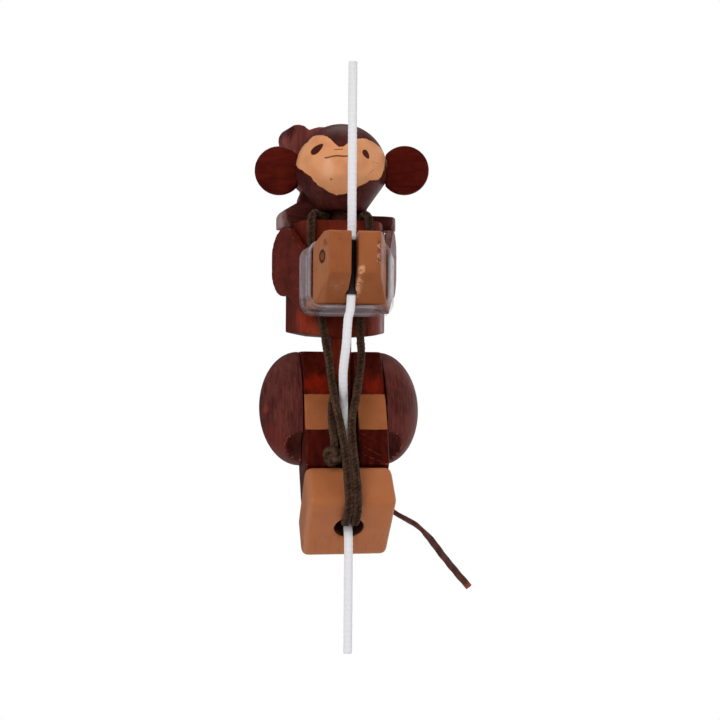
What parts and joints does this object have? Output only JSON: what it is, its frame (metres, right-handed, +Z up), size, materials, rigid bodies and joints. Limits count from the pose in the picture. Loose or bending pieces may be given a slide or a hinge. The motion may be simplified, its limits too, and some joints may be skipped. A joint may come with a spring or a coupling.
{
  "type": "climbing figure toy",
  "caption": "Jointed wooden monkey that climbs a cord held between its hands and through its foot, with an elastic that draws the legs back up.",
  "frame": {"origin": "middle of the climbing cord's top end", "axes": "+Z up along the hanging cord, the figure's face and hands point to -Y, +X is to the right of someone who faces it"},
  "size_m": [0.079, 0.0662, 0.191],
  "materials": {
    "stained_wood": "satin red-brown stain",
    "ear_wood": "satin deep red stain",
    "haunch_wood": "satin purple-brown stain",
    "head_paint": "dark brown paint, glossy",
    "tan_paint": "tan paint, semi-gloss",
    "dowel_wood": "bare beech",
    "white_cord": "smooth braid",
    "knitted_elastic": "knitted cover",
    "band_rubber": "translucent, satin",
    "waxed_tail_cord": "twisted, waxed"
  },
  "bodies": {
    "cord": {"climbing_cord": "white_cord"},
    "arms": {"left_arm": "stained_wood", "right_arm": "stained_wood", "wrist_band": "band_rubber", "shoulder_pin": "dowel_wood"},
    "torso": {"torso": "stained_wood", "shoulder_yoke": "stained_wood", "back_rider": "stained_wood", "waist_tongue": "stained_wood", "neck_dowel": "dowel_wood", "elastic_cord": "knitted_elastic"},
    "head": {"head": "head_paint", "left_ear": "ear_wood", "right_ear": "ear_wood"},
    "legs": {"leg_block": "stained_wood", "foot_block": "tan_paint", "left_haunch": "haunch_wood", "right_haunch": "haunch_wood", "hip_pin": "dowel_wood", "elastic_knot": "knitted_elastic", "tail": "waxed_tail_cord"}
  },
  "joints": [
    {"name": "climb", "type": "slide", "parent": "cord", "child": "arms", "axis": [0, 0, 1], "range_m": [-0.03, 0.03], "deforming": ["climbing_cord"]},
    {"name": "shoulder", "type": "hinge", "parent": "arms", "child": "torso", "pos_m": [0, 0.03, -0.0623], "axis": [1, 0, 0], "range_deg": [-13.8, 0]},
    {"name": "hip", "type": "hinge", "parent": "torso", "child": "legs", "pos_m": [0, 0.027, -0.108], "axis": [1, 0, 0], "range_deg": [0, 28], "stiffness_Nm_per_rad": 0.06, "springref_deg": -20.05, "deforming": ["elastic_cord"]},
    {"name": "head_turn", "type": "hinge", "parent": "torso", "child": "head", "pos_m": [0, 0.025, -0.0308], "axis": [0, 0, 1], "range_deg": [-15, 25]}
  ],
  "couplings": [
    {"joint": "shoulder", "follows": "hip", "ratio": -0.49}
  ]
}
